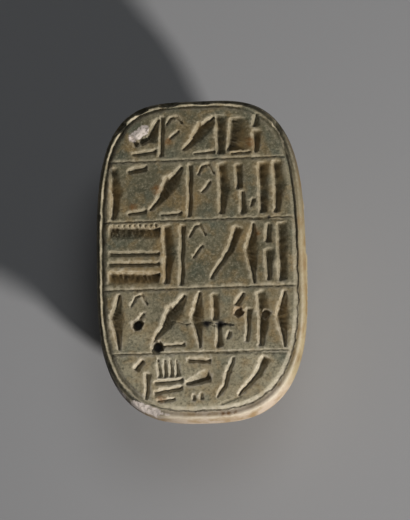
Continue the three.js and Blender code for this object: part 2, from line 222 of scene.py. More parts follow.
ROWS = [
    "wedge pillar arch blade bar panel stub",
    "waisted dashes blade pillar arch waisted split bar waisted",
    "courses waisted pillar arch sweep leaf stub bar",
    "leaf arch blade leaf split chisel waisted leaf",
    "chisel comb drop sickle sweep",
]
ROW_MARGIN = 0.45
# How far below the first row's head and above the last row's foot their room is measured
END_ROWS = {"first": 2.6, "last": 3}
CUT_DEPTH = {"thin": 0.32, "per_width": 0.22, "most": 0.85}
STEEP_SIDE = np.array([-0.8, 0.6])
STEEP_WALL = {"width": 0.3, "most_of_half": 0.6}
# Two of the strokes were scraped, so that their steep side is a broad facet: mark and stroke
SCRAPED_WALL = {"width": 1.5, "most_of_half": 1.25}
SCRAPED = [("wedge", 1), ("drop", 0)]
SLOPE_HOLLOW = 1.3
HATCHING = {"from_width": 2.2, "step": 0.6, "depth": 0.08}
# Drilled pits: x, y, radius and depth
DRILLED = [(5.9, -8.6, 0.6, 0.8), (9.9, -9, 0.66, 0.8), (-9.3, -10.1, 0.7, 1), (-6.3, -13.6, 0.78, 1.1)]
CRACK = {"half": 0.12, "depth": 0.22}
CRACK_PATH = [(-5.6, -10.2), (-3.9, -9.7), (-1.9, -10.3), (-0.6, -9.9)]
CRACK_PATH += [(1, -10.1), (2.3, -10.6), (4.1, -10.2), (5.3, -10.6)]
KNIFE_SLIP = {"from": (3.3, -22.6), "to": (6.4, -21.4), "half": 0.26, "depth": 0.13}


def hand_wobble(seed):
    return math.sin(seed * 12.9898) * 0.5 + math.sin(seed * 4.1414) * 0.5


def row_half_width(y):
    """Half the room between the two sides of the border at that height."""
    inset = BORDER["side"] + GROOVE_HALF + ROW_MARGIN
    top = LENGTH / 2 - inset - 1
    bottom = -LENGTH / 2 + inset + 1.5
    return float(oval_side(min(max(y, bottom), top), inset))


def lay_out_cuts():
    """Every cut of the five rows as (start, end, start width, end width, depth, steep wall)."""
    cuts = []
    for index, row in enumerate(ROWS):
        high = LENGTH / 2 - BORDER["head"] - 2 * GROOVE_HALF if index == 0 else RULED_LINES[index - 1]
        low = RULED_LINES[index] if index < 4 else -LENGTH / 2 + BORDER["tail"] + 2 * GROOVE_HALF
        near = {0: high - END_ROWS["first"], 4: low + END_ROWS["last"]}.get(index, (high + low) / 2)
        half = row_half_width(near)
        names = row.split()
        gap = (2 * half - sum(MARKS[name][0] for name in names)) / (len(names) - 1)
        height = high - low - 2 * ROW_MARGIN
        left = LEAN * near - half
        for place, name in enumerate(names):
            wide, *strokes = MARKS[name]
            seed = 10 * index + place
            start = left + 0.15 * hand_wobble(seed)
            lift = low + ROW_MARGIN + 0.15 * hand_wobble(seed + 0.5)
            left += wide + gap
            for order, (x1, y1, x2, y2, w1, w2) in enumerate(strokes):
                depth = CUT_DEPTH["thin"] + CUT_DEPTH["per_width"] * max(w1, w2)
                a = (start + x1, lift + y1 * height)
                b = (start + x2, lift + y2 * height)
                wall = SCRAPED_WALL if (name, order) in SCRAPED else STEEP_WALL
                cuts.append((a, b, w1, w2, min(CUT_DEPTH["most"], depth), wall))
    return cuts


CUTS = lay_out_cuts()


def graver_waver(x, y):
    """How far the hand strayed from a true line at each point."""
    stray_x = 0.06 * unevenness(x, y, 1.7, 3) + 0.03 * unevenness(x, y, 0.6, 5)
    stray_y = 0.06 * unevenness(x, y, 1.9, 8) + 0.03 * unevenness(x, y, 0.65, 9)
    return stray_x, stray_y


def stroke_profile(share, w1, w2, steep_wall):
    """Half a stroke's width, and its steep wall's width, at that share of its length."""
    half = (w1 + (w2 - w1) * held(share)) / 2
    return half, np.minimum(steep_wall["width"], steep_wall["most_of_half"] * half)


def cut_depth(x, y, cut, seed):
    """The depth of one sunk stroke below the face."""
    (ax, ay), (bx, by), w1, w2, depth, steep_wall = cut
    length = math.hypot(bx - ax, by - ay)
    tx, ty = (bx - ax) / length, (by - ay) / length
    nx, ny = -ty, tx
    if nx * STEEP_SIDE[0] + ny * STEEP_SIDE[1] < 0:
        nx, ny = -nx, -ny
    s = (x - ax) * tx + (y - ay) * ty
    half, wall = stroke_profile(s / length, w1, w2, steep_wall)
    off = (x - ax) * nx + (y - ay) * ny
    steep = held((half - off) / wall)
    gentle = held((half + off) / (2 * half - wall)) ** SLOPE_HOLLOW
    end = held((np.minimum(s, length - s) + 0.1) / 0.24)
    uneven = 1 + 0.05 * np.sin(2 * math.pi * s / (1.3 + 0.4 * hand_wobble(seed)) + seed)
    if max(w1, w2) > HATCHING["from_width"]:
        strength = HATCHING["depth"] * (0.6 + 0.4 * np.sin(1.7 * s + seed))
        uneven = uneven + strength * np.sin(2 * math.pi * (s + 0.5 * off) / HATCHING["step"])
    return depth * np.minimum(steep, gentle) * end * (2 - end) * uneven


def worn_side(x, y):
    """From 1 along the right and the tail of the base to 0 along its left."""
    return held((0.68 * x - 0.4 * (y - WIDEST_Y)) / 8)


def rim_drop(x, y):
    """How far the rim outside the groove has worn down, most at the lower right."""
    return WORN_CORNER["drop"] * held((x - y - 12) / 10)


def base_depth(x, y):
    """How deep the base lies below its flat face at each point."""
    stray_x, stray_y = graver_waver(x, y)
    wx, wy = x + stray_x, y + stray_y
    deep = np.zeros_like(x)
    for seed, cut in enumerate(CUTS):
        (ax, ay), (bx, by), w1, w2 = cut[:4]
        room = max(w1, w2) / 2 + 0.3
        near = (wx > min(ax, bx) - room) & (wx < max(ax, bx) + room)
        near &= (wy > min(ay, by) - room) & (wy < max(ay, by) + room)
        deep[near] = np.maximum(deep[near], cut_depth(wx[near], wy[near], cut, seed))
    border = inside_border(wx, wy)
    foot = BORDER["foot"]
    outer = held(1 + (border - foot) / BORDER["wall"])
    slope = BORDER["slope"] + WORN_CORNER["wider"] * worn_side(x, y)
    inner = held(1 - (border - foot) / slope)
    patchy = 0.74 + 0.36 * unevenness(x, y, 5, 21) + worn_side(x, y)
    groove = BORDER["depth"] * (1 - WORN_CORNER["shallower"] * worn_side(x, y)) * np.clip(patchy, 0.3, 1)
    deep = np.maximum(deep, groove * np.minimum(outer, inner))
    deep = np.where(border < foot, np.maximum(deep, rim_drop(x, y)), deep)
    within = border > 0
    for y0 in RULED_LINES:
        line = held(1 - np.abs(wy - y0) / (RULE["width"] / 2))
        deep = np.where(within, np.maximum(deep, RULE["depth"] * line), deep)
    for index, offset, from_x, to_x in SLIPPED_LINES:
        a, b = (from_x, RULED_LINES[index]), (to_x, RULED_LINES[index] + offset)
        line = held(1 - close_to_segment(wx, wy, a, b) / SLIPPED["half"])
        deep = np.where(within, np.maximum(deep, SLIPPED["depth"] * line), deep)
    for px, py, radius, depth in DRILLED:
        ragged = 1 + 0.16 * unevenness(x, y, 0.9, px)
        hole = np.clip(1.25 - np.hypot(x - px, y - py) / (radius * ragged), 0, 0.45) / 0.45
        deep = np.maximum(deep, depth * hole)
    for a, b in zip(CRACK_PATH, CRACK_PATH[1:]):
        crack = held(1 - close_to_segment(x, y, a, b) / CRACK["half"])
        deep = deep + CRACK["depth"] * crack * (1 - held(deep / 0.5))
    from_slip = close_to_segment(x, y, KNIFE_SLIP["from"], KNIFE_SLIP["to"])
    return np.maximum(deep, KNIFE_SLIP["depth"] * held(1 - from_slip / KNIFE_SLIP["half"]))


# Distances between the base's mesh points: along a stroke, along a ruled line, in the carved parts
# and on the plain face, and how close two points may come
SPACING = {"stroke": 0.17, "ruled": 0.18, "carved": 0.155, "plain": 0.31, "least": 0.1}
BORDER_RINGS = {"points": 620, "offsets": [-0.15, -0.04, 0.07, 0.22, 0.44]}
FLAT = 0.02


def stroke_lines(cut):
    """Points along the two rims and the steep foot of one stroke, where the mesh needs edges."""
    a, b, w1, w2, _, steep_wall = cut
    length = np.hypot(b[0] - a[0], b[1] - a[1])
    along = (np.array(b) - a) / length
    across = np.array([-along[1], along[0]])
    if across @ STEEP_SIDE < 0:
        across = -across
    stops = np.linspace(-0.1, length + 0.1, max(3, int((length + 0.2) / SPACING["stroke"])))
    half, wall = stroke_profile(stops / length, w1, w2, steep_wall)
    lines = (half + 0.03, half - wall / 2, half - wall - 0.02, -0.9 * half)
    rows = [a + np.outer(stops, along) + np.outer(line, across) for line in lines]
    for stop in (-0.1, 0.2, length - 0.2, length + 0.1):
        half, _ = stroke_profile(stop / length, w1, w2, steep_wall)
        offsets = np.arange(-half, half, SPACING["stroke"])
        rows.append(a + stop * along + np.outer(offsets, across))
    return np.concatenate(rows)


def thinned(points, cell):
    """One point from each square cell."""
    keys = np.round(points / cell).astype(np.int64)
    _, first = np.unique(keys[:, 0] * 100003 + keys[:, 1], return_index=True)
    return points[np.sort(first)]


def base_points(edge):
    """The base's points: the edge ring, lines along every cut, and a lattice between them."""
    lines = []
    for offset in BORDER_RINGS["offsets"]:
        insets = (BORDER["side"] + offset, BORDER["head"] + offset, BORDER["tail"] + offset)
        lines.append(oval_ring(BORDER_RINGS["points"], *insets))
    lines += [stroke_lines(cut) for cut in CUTS]
    for y0 in RULED_LINES:
        half = row_half_width(y0) + ROW_MARGIN
        across = np.arange(-half, half, SPACING["ruled"]) + LEAN * y0
        edges = (-RULE["width"] / 2, 0, RULE["width"] / 2)
        lines += [np.stack([across, 0 * across + y0 + off], 1) for off in edges]
    lines = np.concatenate(lines)
    stray_x, stray_y = graver_waver(lines[:, 0], lines[:, 1])
    lines = thinned(lines - np.stack([stray_x, stray_y], 1), SPACING["least"])
    fine = lattice(SPACING["carved"])
    coarse = lattice(SPACING["plain"])
    carved = np.zeros(len(fine), bool)
    for dx, dy in ((0, 0), (0.2, 0), (-0.2, 0), (0, 0.2), (0, -0.2)):
        carved |= base_depth(fine[:, 0] + dx, fine[:, 1] + dy) > FLAT
    fine = fine[carved]
    coarse = coarse[base_depth(*coarse.T) <= FLAT]
    fill = without_neighbours(fine, lines, 0.085)
    coarse = without_neighbours(coarse, np.concatenate([lines, fill]), 0.13)
    inner = np.concatenate([lines, fill, coarse])
    room = inside_oval(inner[:, 0], inner[:, 1], PLATE_INSETS[0], PLATE_INSETS[0], PLATE_INSETS[0])
    return np.concatenate([edge, inner[room > 0.07]])


def lattice(step):
    """A triangular lattice over the whole base, gently jittered."""
    rows = np.arange(-LENGTH / 2, LENGTH / 2, step * 0.866)
    columns = np.arange(-WIDTH / 2 - 1, WIDTH / 2 + 1, step)
    x, y = np.meshgrid(columns, rows)
    x = x + (np.arange(len(rows)) % 2)[:, None] * step / 2
    jitter = np.random.default_rng(7).uniform(-0.12, 0.12, (2, *x.shape)) * step
    return np.stack([(x + jitter[0]).ravel(), (y + jitter[1]).ravel()], 1)


def without_neighbours(points, others, reach):
    """The points with none of the others within about that reach."""
    taken = set()
    keys = np.floor(others / reach).astype(np.int64)
    for dx in (-1, 0, 1):
        for dy in (-1, 0, 1):
            taken.update(((keys[:, 0] + dx) * 100003 + keys[:, 1] + dy).tolist())
    own = np.floor(points / reach).astype(np.int64)
    free = [key not in taken for key in (own[:, 0] * 100003 + own[:, 1]).tolist()]
    return points[np.array(free)]


# --------------------------------------
# The beetle. Its back is carved in the round: wing cases parted by a line, a pronotum, and a head
# with eyes and a toothed clypeus. Three pairs of legs lie in relief between back and plate.

FORMS = {
    "elytra": {"half": 14.4, "y": -2.6, "head": 14.4, "tail": 20.9, "wall": 8.8, "top": 20.4, "power": 2.5},
    "pronotum": {"half": 13.7, "y": 7.6, "head": 11.6, "tail": 7, "wall": 8.4, "top": 19, "power": 2.6},
    "head": {"half": 6.8, "y": 15.5, "head": 7.2, "tail": 5, "wall": 7.2, "top": 13.4, "power": 2.4},
}
DOME_POWER = 2.2
LINE = {"width": 0.8, "depth": 0.5}
PRONOTUM_LINE = {"y": 7.2, "bow": 0.012}
SIDE_LINE_RISE = 9.6
# Finer lines: beside the suture, round each shoulder, across the brow and down each cheek
SUTURE_SIDES = {"x": 0.95, "width": 0.6, "depth": 0.16}
SHOULDER = {"path": [(8.2, 7.6), (9.3, 3.4), (11.4, 7.4)], "width": 0.5, "depth": 0.3}
BROW = {"y": 18.9, "bow": 0.02, "width": 0.6, "depth": 0.3}
CHEEK = {"path": [(1.6, 18.6), (3.6, 15.2)], "width": 0.5, "depth": 0.25}
CLYPEUS = {"half": 6, "tip_half": 4.4, "y": 18.6, "tip": 23.9, "rise": 8.6, "teeth": 4, "notch": 0.9}
EYE = {"x": 6.9, "y": 18, "rise": 8.9, "radius": 1.6}
# Each leg's joints: y, rise and radius
LEGS = [
    [(9.5, 8.6, 1.5), (16, 7, 1.35), (22.4, 5.3, 1.05)],
    [(6.4, 8.9, 1.3), (-0.5, 5.9, 1.2), (-8.5, 5.1, 0.9)],
    [(1.8, 9.3, 1.4), (-9.5, 7.6, 1.35), (-20.8, 5.2, 1)],
]
LEG_INSET = 1.9
FILLETS = {"back": 0.5, "head": 0.3, "clypeus": 0.15, "eye": 0.2, "leg": 0.25, "plate": 0.25}
FAR_OFF = 9.0


def dome(x, y, rise, form):
    """Signed gap to one rounded form of the back, negative inside."""
    along = np.where(y > form["y"], form["head"], form["tail"])
    u = (np.abs(x) / form["half"]) ** form["power"] + (np.abs(y - form["y"]) / along) ** form["power"]
    v = np.clip(rise - form["wall"], 0, None) / (form["top"] - form["wall"])
    gauge = (u ** (DOME_POWER / form["power"]) + v**DOME_POWER) ** (1 / DOME_POWER)
    return (gauge - 1) * 0.5 * (form["half"] + form["top"] - form["wall"])


def engraved(distance, line):
    """The depth of an incised line at that distance from its middle."""
    return line["depth"] * held(1 - (distance / (line["width"] / 2)) ** 2)


def merged(a, b, blend):
    """The union of two forms, with a fillet where they meet."""
    mix = held(0.5 + 0.5 * (b - a) / blend)
    return b + (a - b) * mix - blend * mix * (1 - mix)


def leg_paths():
    """The joints of each right-hand leg, as points and radii, with the bend rounded a little."""
    paths = []
    for joints in LEGS:
        stops = np.linspace(0, len(joints) - 1, 11)
        y, rise, radius = (np.interp(stops, range(len(joints)), column) for column in zip(*joints))
        paths.append(np.stack([oval_side(y, LEG_INSET), y, rise, radius], 1))
    return paths


LEG_PATHS = leg_paths()


def legs_gap(x, y, rise):
    """Signed gap to the three legs of one side."""
    gap = np.full(x.shape, FAR_OFF)
    for path in LEG_PATHS:
        for (ax, ay, ar, a_size), (bx, by, br, b_size) in zip(path, path[1:]):
            along = np.array([bx - ax, by - ay, br - ar])
            t = ((x - ax) * along[0] + (y - ay) * along[1] + (rise - ar) * along[2]) / (along @ along)
            t = held(t)
            off = (x - ax - t * along[0]) ** 2 + (y - ay - t * along[1]) ** 2
            off = np.sqrt(off + (rise - ar - t * along[2]) ** 2)
            gap = np.minimum(gap, off - a_size - t * (b_size - a_size))
    return gap


def engraved_path(x, y, line):
    """The depth of an incised line that runs through several points."""
    return sum(engraved(close_to_segment(x, y, a, b), line) for a, b in zip(line["path"], line["path"][1:]))


def beetle_gap(x, y, rise):
    """Signed gap to the whole beetle and its plate, negative inside the stone."""
    px = np.abs(x - LEAN * y)
    edge = -inside_oval(x, y)
    plate = np.maximum(edge + np.interp(rise, PLATE_RISES, PLATE_INSETS), rise - PLATE_RISE)
    elytra = dome(px, y, rise, FORMS["elytra"])
    pronotum = dome(px, y, rise, FORMS["pronotum"])
    back = merged(elytra, pronotum, FILLETS["back"])
    seam = PRONOTUM_LINE["y"] + PRONOTUM_LINE["bow"] * px**2
    behind = y < seam
    back = back + behind * engraved(px, LINE)
    back = back + behind * engraved(np.abs(px - SUTURE_SIDES["x"]), SUTURE_SIDES)
    on_top = rise > SIDE_LINE_RISE - 1
    back = back + on_top * engraved(np.abs(y - seam), LINE)
    back = back + engraved(np.abs(rise - SIDE_LINE_RISE), LINE)
    back = back + behind * engraved_path(px, y, SHOULDER)
    head = dome(px, y, rise, FORMS["head"])
    head = head + engraved(np.abs(y - BROW["y"] - BROW["bow"] * px**2), BROW)
    head = head + engraved_path(px, y, CHEEK)
    gap = merged(back, head, FILLETS["head"])
    gap = merged(gap, clypeus_gap(px, y, rise), FILLETS["clypeus"])
    eye = np.sqrt(((px - EYE["x"]) / 0.8) ** 2 + ((y - EYE["y"]) / 1.2) ** 2 + (rise - EYE["rise"]) ** 2)
    gap = merged(gap, eye - EYE["radius"], FILLETS["eye"])
    low = (rise > 3.2) & (rise < 11.4) & (edge > -5)
    legs = np.full(x.shape, FAR_OFF)
    legs[low] = legs_gap(px[low], y[low], rise[low])
    gap = merged(gap, legs, FILLETS["leg"])
    gap = merged(gap, plate, FILLETS["plate"])
    return np.maximum(gap, rise - HEIGHT)


def clypeus_gap(px, y, rise):
    """Signed gap to the toothed plate in front of the head, which thins towards its edge."""
    along = (y - CLYPEUS["y"]) / (CLYPEUS["tip"] - CLYPEUS["y"])
    half = CLYPEUS["half"] + (CLYPEUS["tip_half"] - CLYPEUS["half"]) * held(along)
    share = px / CLYPEUS["tip_half"]
    scallop = CLYPEUS["notch"] * np.abs(np.cos(math.pi * share * CLYPEUS["teeth"] / 2)) ** 2
    front = CLYPEUS["tip"] - 0.9 * np.clip(share, 0, 1.3) ** 2 - scallop
    top = CLYPEUS["rise"] - 1.1 * held(along)
    return np.maximum(np.maximum(px - half, y - front), np.maximum(rise - top, CLYPEUS["y"] - 2 - y))


# The mesh of the sides and back: points in a ring, rings down the sides and rings over the back
RING = 560
SIDE_ROWS = 42
BACK_ROWS = 64
BACK_START = 9.6
BACK_REACH = 10.4
MIDDLE = np.array([0.0, -2.6, 2.2])
FACE_WAVER = {"least": 0.05, "swing": 0.03, "size": 11}


def rough_surface():
    """Rings of points near the real surface: down the side, then in over the back."""
    edge = oval_ring(RING, *[PLATE_INSETS[0]] * 3)
    widest = oval_ring(RING)
    rings = []
    side_rises = np.concatenate([[0.06, 0.14, 0.26], np.linspace(0.42, BACK_START, SIDE_ROWS - 3)])
    for rise in side_rises:
        share = held(rise / 0.6)
        ring = edge + (widest - edge) * share
        lowered = rim_drop(*ring.T) * max(0, 1 - rise / PLATE_RISE)
        rings.append(np.column_stack([ring, rise + lowered]))
    for row in range(1, BACK_ROWS + 1):
        turn = 0.5 * math.pi * row / (BACK_ROWS + 1)
        ring = MIDDLE[:2] + (widest - MIDDLE[:2]) * math.cos(turn)
        rings.append(np.column_stack([ring, np.full(RING, BACK_START + BACK_REACH * math.sin(turn))]))
    return edge, np.array(rings)


def cast_to_surface(aims):
    """Slides each aim along its line from the middle until it lies on the stone's surface."""
    shape = aims.shape
    aims = aims.reshape(-1, 3)
    away = aims - MIDDLE
    reach = np.linalg.norm(away, axis=1)
    away = away / reach[:, None]

    def gap_at(distance):
        points = MIDDLE + away * distance[:, None]
        return beetle_gap(points[:, 0], points[:, 1], points[:, 2])

    outer = reach + 2
    found = np.zeros(len(reach), bool)
    inner = outer.copy()
    for _ in range(64):
        trial = np.where(found, inner, outer - 0.3)
        inside = ~found & (gap_at(trial) < 0)
        inner[inside] = trial[inside]
        outer = np.where(found | inside, outer, trial)
        found |= inside
        if found.all():
            break
    for _ in range(12):
        middle = (inner + outer) / 2
        inside = gap_at(middle) < 0
        inner = np.where(inside, middle, inner)
        outer = np.where(inside, outer, middle)
    return (MIDDLE + away * inner[:, None]).reshape(shape)


def carve_stone():
    """The whole closed surface, as points in millimetres and triangles facing outward."""
    edge, aims = rough_surface()
    flat = base_points(edge)
    result = delaunay_2d_cdt([Vector(p) for p in flat], [], [], 0, 0)
    triangles = np.array([face for face in result[2] if len(face) == 3])
    places = np.array([list(v) for v in result[0]])
    depth = base_depth(places[:, 0], places[:, 1])
    rim = inside_oval(places[:, 0], places[:, 1], *[PLATE_INSETS[0]] * 3)
    waver = FACE_WAVER["least"] + FACE_WAVER["swing"] * unevenness(*places.T, FACE_WAVER["size"], 4)
    depth = depth + waver * held(rim / 0.4)
    base = np.column_stack([places, depth])
    sides = cast_to_surface(aims)
    a, b, c = (places[triangles[:, k]] for k in range(3))
    to_b, to_c = b - a, c - a
    turned = to_b[:, 0] * to_c[:, 1] - to_b[:, 1] * to_c[:, 0] < 0
    triangles[turned] = triangles[turned][:, ::-1]
    side_rings = len(base) + np.arange(len(sides) * RING).reshape(-1, RING)
    rings = np.concatenate([np.arange(RING)[None], side_rings])
    upper, lower = rings[:-1], rings[1:]
    next_upper, next_lower = np.roll(upper, -1, 1), np.roll(lower, -1, 1)
    first = np.stack([upper, lower, next_lower], -1).reshape(-1, 3)
    second = np.stack([upper, next_lower, next_upper], -1).reshape(-1, 3)
    pole = len(base) + len(sides) * RING
    cap = np.stack([rings[-1], np.full(RING, pole), np.roll(rings[-1], -1)], -1)
    points = np.concatenate([base, sides.reshape(-1, 3), [[MIDDLE[0], MIDDLE[1], HEIGHT]]])
    return points, np.concatenate([triangles, first, second, cap])


# Chips broken from the plate's rim: x, y, length along the rim, and depth
CHIPS = [
    (-7.6, -23.6, 2.9, 0.75),
    (-9.6, -22.6, 1.5, 0.5),
    (-4.6, 24.4, 1.5, 0.6),
    (0.6, 24.8, 1.9, 0.66),
    (3.6, 24.7, 1, 0.5),
    (7.4, 24.2, 1.6, 0.56),
    (-12.6, 20.5, 1.6, 0.55),
    (-8.9, 23.2, 1, 0.45),
    (12.4, 19.6, 1.4, 0.45),
    (-15.6, 6.4, 1, 0.3),
    (15.8, -9, 0.9, 0.3),
]
CHIP_TILT = {"outward": 0.62, "rise": -0.78}


def chip_rim(points):
    """Breaks each chip off along a plane that slopes out from the face to the side."""
    for cx, cy, length, depth in CHIPS:
        centre = np.array([cx, cy, 0.0])
        outward = centre - MIDDLE * [1, 0.7, 0]
        outward[2] = 0
        outward = outward / np.linalg.norm(outward)
        facing = outward * CHIP_TILT["outward"] + np.array([0, 0, CHIP_TILT["rise"]])
        from_rim = points - centre
        near = np.linalg.norm(from_rim * [1, 1, 1.3], axis=1) < length
        rough = 0.07 * unevenness(points[:, 0], points[:, 1], 0.9, cx, points[:, 2])
        beyond = from_rim @ facing + depth + rough
        beyond = beyond - 0.16 * np.linalg.norm(from_rim, axis=1) ** 2 / length
        over = near & (beyond > 0)
        points[over] -= np.outer(beyond[over], facing)
    return points


def put_in_scene(name, data):
    holder = bpy.data.objects.new(name, data)
    bpy.context.scene.collection.objects.link(holder)
    return holder


def stone_mesh(name, points, edges, faces):
    """A mesh in metres from points whose third number is a rise."""
    mesh = bpy.data.meshes.new(name)
    placed = np.column_stack([points[:, 0], points[:, 1], HEIGHT - points[:, 2]]) * MM
    mesh.from_pydata(placed.tolist(), edges, faces)
    mesh.update()
    return put_in_scene(name, mesh)


points, faces = carve_stone()
scarab = stone_mesh("scarab_carving", chip_rim(points), [], faces.tolist())

# --------------------------------------
# The string hole and the nicks on the legs. The hole was drilled from both ends, so its mouths
# flare. A graver nicked each leg across its length to show the beetle's bristles.

STRING_HOLE = {"radius": 1.15, "rise": 6.6, "mouth": 1.4, "flare": 2.4, "sides": 40}
NICKS = {"Spacing": 0.95, "Length": 1.7, "Width": 0.34, "Unevenness": 0.25}


def string_hole():
    """A closed spindle through the whole length, wider where the drill went in."""
    end = LENGTH / 2 + 1
    mouth = STRING_HOLE["mouth"] + 0.2
    inner = end - STRING_HOLE["flare"]
    stations = [(-end, mouth), (-inner, STRING_HOLE["radius"]), (inner, STRING_HOLE["radius"]), (end, mouth)]
    sides = STRING_HOLE["sides"]
    turn = np.arange(sides) * 2 * math.pi / sides
    rings = [np.column_stack([r * np.cos(turn), 0 * turn + y, r * np.sin(turn)]) for y, r in stations]
    points = np.concatenate([*rings, [[0, -end, 0], [0, end, 0]]]) + [0, 0, STRING_HOLE["rise"]]
    low, high = len(stations) * sides, len(stations) * sides + 1
    triangles = []
    for k in range(sides):
        after = (k + 1) % sides
        for row in range(0, low - sides, sides):
            across = row + sides + after
            triangles += [(row + k, row + after, across), (row + k, across, row + sides + k)]
        triangles += [(low, after, k), (high, low - sides + k, low - sides + after)]
    return stone_mesh("string_hole", points, [], triangles)


def leg_lines():
    """The outer line of each leg as mesh edges, each point knowing which way is outward."""
    places, edges, outward = [], [], []
    for side in (1, -1):
        for path in LEG_PATHS:
            first = len(places)
            for x, y, rise, radius in path[1:-1]:
                step = np.array([oval_side(y + 0.1, LEG_INSET) - oval_side(y - 0.1, LEG_INSET), 0.2])
                out = np.array([step[1], -step[0]]) / np.linalg.norm(step)
                place = np.array([x, y]) + out * radius
                places.append((side * place[0] + LEAN * place[1], place[1], rise))
                outward.append((side * out[0], out[1], 0))
            edges += [(k, k + 1) for k in range(first, len(places) - 1)]
    lines = stone_mesh("leg_lines", np.array(places), edges, [])
    facing = lines.data.attributes.new("outward", "FLOAT_VECTOR", "POINT")
    facing.data.foreach_set("vector", np.array(outward, np.float32).ravel())
    return lines


def node_maker(tree):
    """A function that adds a node, sets its properties, fills its inputs and gives its outputs."""

    def make(kind, properties=None, **inputs):
        node = tree.nodes.new(kind)
        for key, value in (properties or {}).items():
            setattr(node, key, value)
        for key, value in inputs.items():
            slot = int(key[1:]) if key[0] == "i" and key[1:].isdigit() else key.replace("_", " ")
            socket = node.inputs[slot]
            if isinstance(value, bpy.types.NodeSocket):
                tree.links.new(value, socket)
            else:
                socket.default_value = value
        return node.outputs

    return make


def calculator(make):
    """A function that adds a math node with two inputs and gives its result."""

    def calculate(operation, a, b, clamp=False):
        return make("ShaderNodeMath", {"operation": operation, "use_clamp": clamp}, i0=a, i1=b)[0]

    return calculate


def named_inputs(tree, sizes):
    """Gives a tree its geometry sockets and one named number for each size."""
    tree.interface.new_socket("Geometry", in_out="INPUT", socket_type="NodeSocketGeometry")
    tree.interface.new_socket("Geometry", in_out="OUTPUT", socket_type="NodeSocketGeometry")
    for name in sizes:
        tree.interface.new_socket(name, in_out="INPUT", socket_type="NodeSocketFloat")


def run_tree(piece, tree, sizes):
    """Gives a piece the tree's result as its plain mesh."""
    modifier = piece.modifiers.new(tree.name, "NODES")
    modifier.node_group = tree
    for item in tree.interface.items_tree:
        if item.in_out == "INPUT" and item.name in sizes:
            modifier[item.identifier] = float(sizes[item.name])
    settle(piece, modifier)
    return piece


def finish_tree(make, shape, material):
    """Ends a tree with real geometry in the piece's material."""
    real = make("GeometryNodeRealizeInstances", Geometry=shape)
    finish = make("GeometryNodeSetMaterial", Geometry=real[0], Material=material)
    make("NodeGroupOutput", Geometry=finish[0])


def settle(piece, modifier):
    """Makes the modifier's result the piece's plain mesh and removes the modifier."""
    bpy.context.view_layer.update()
    evaluated = piece.evaluated_get(bpy.context.evaluated_depsgraph_get())
    result = bpy.data.meshes.new_from_object(evaluated)
    piece.modifiers.remove(modifier)
    piece.data = result


def nick_tree(cutter):
    """Sets a three-cornered cut across the leg at even steps along its line."""
    tree = bpy.data.node_groups.new("leg_nicks", "GeometryNodeTree")
    named_inputs(tree, NICKS)
    make = node_maker(tree)
    calculate = calculator(make)
    given = make("NodeGroupInput")
    curve = make("GeometryNodeMeshToCurve", Mesh=given["Geometry"])[0]
    steps = make("GeometryNodeResampleCurve", {"mode": "LENGTH"}, Curve=curve, Length=given["Spacing"])
    outward = make("GeometryNodeInputNamedAttribute", {"data_type": "FLOAT_VECTOR"}, Name="outward")[0]
    along = make("GeometryNodeInputTangent")[0]
    across = make("ShaderNodeVectorMath", {"operation": "CROSS_PRODUCT"}, i0=along, i1=outward)[0]
    size = make("ShaderNodeCombineXYZ", X=given["Length"], Y=given["Width"], Z=given["Width"])
    bar = make("GeometryNodeMeshCube", Size=size[0])
    turned = make("GeometryNodeTransform", Geometry=bar[0], Rotation=(math.radians(45), 0, 0))
    first = make("FunctionNodeAlignRotationToVector", {"axis": "X"}, Vector=across)[0]
    upright = {"axis": "Z", "pivot_axis": "X"}
    facing = make("FunctionNodeAlignRotationToVector", upright, Rotation=first, Vector=outward)[0]
    least = calculate("SUBTRACT", 1, given["Unevenness"])
    most = calculate("ADD", 1, given["Unevenness"])
    scale = make("FunctionNodeRandomValue", {"data_type": "FLOAT"}, i2=least, i3=most, Seed=11)[1]
    nicks = make(
        "GeometryNodeInstanceOnPoints",
        Points=steps[0],
        Instance=turned[0],
        Rotation=facing,
        Scale=scale,
    )
    finish_tree(make, nicks[0], cutter)
    return tree


def cut_away(piece, tool):
    """Cuts the tool's shape out of the piece and throws the tool away."""
    modifier = piece.modifiers.new("cut", "BOOLEAN")
    modifier.operation = "DIFFERENCE"
    modifier.solver = "EXACT"
    modifier.object = tool
    settle(piece, modifier)
    bpy.data.objects.remove(tool)


steatite = bpy.data.materials.new("steatite_worn")
nick_sizes = {name: size * (1 if name == "Unevenness" else MM) for name, size in NICKS.items()}
nicks = run_tree(leg_lines(), nick_tree(steatite), nick_sizes)
cut_away(scarab, nicks)
cut_away(scarab, string_hole())

# --------------------------------------
# Age and wear. Handling rounded the stone and left shallow dips, and the soft grain weathered
# out in fine pores. The base took up brown dirt in its cuts, deepened with painted shade in the
# cuts and creases, and a few spots of rust and pitch; the sides away from the lamp get painted shade.

WEAR = {"Dip Depth": 0.07, "Dip Size": 3.2, "Pore Depth": 0.035, "Pore Size": 0.5, "Seed": 4.0}


